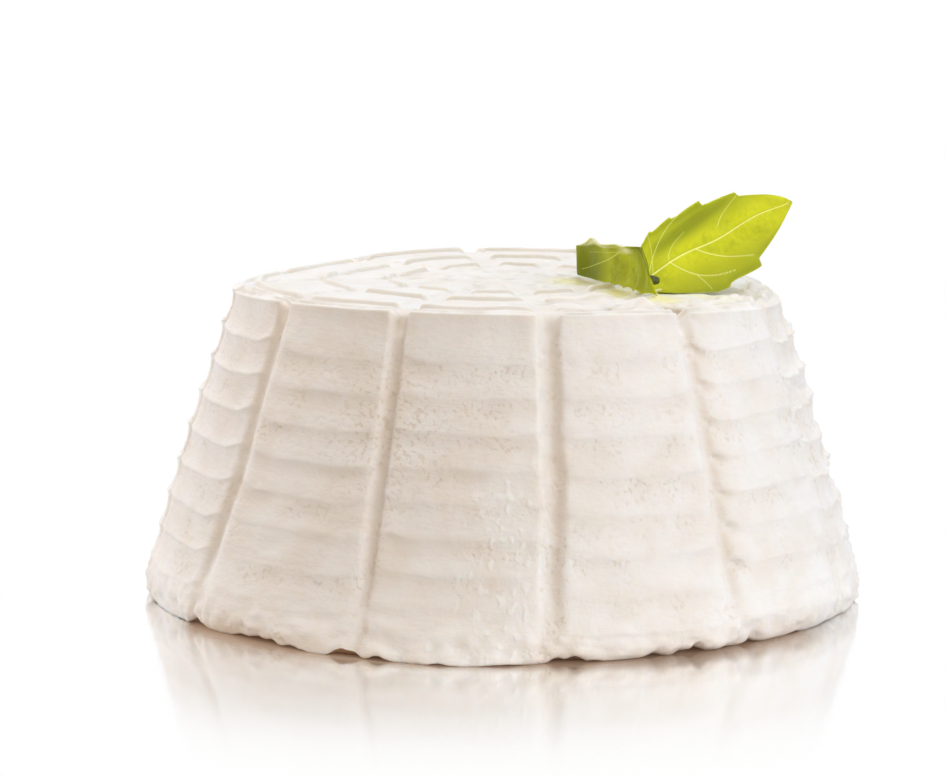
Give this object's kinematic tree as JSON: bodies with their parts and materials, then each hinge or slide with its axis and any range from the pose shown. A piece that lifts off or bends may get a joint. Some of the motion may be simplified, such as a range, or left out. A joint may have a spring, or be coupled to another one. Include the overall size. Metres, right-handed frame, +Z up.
{
  "type": "basket-moulded ricotta cheese",
  "caption": "Fresh white cheese moulded in a draining basket: a low truncated cone with ringed, ribbed sides, a ridged flat top and a small basil sprig.",
  "frame": {"origin": "middle of the flat base, on the surface that the cheese stands on", "axes": "+Z up along the cheese's axis, -Y towards the viewer, +X towards the viewer's right, where the basil points"},
  "size_m": [0.16, 0.1627, 0.0917],
  "materials": {
    "cheese": "moist, soft satin, slightly translucent fresh curd",
    "basil_leaf": "thin translucent leaf, satin",
    "basil_stem": "dark green stalk, satin"
  },
  "bodies": {
    "root": {"ricotta": "cheese", "basil_leaf_large": "basil_leaf", "basil_leaf_small": "basil_leaf", "basil_stem": "basil_stem"}
  },
  "joints": []
}
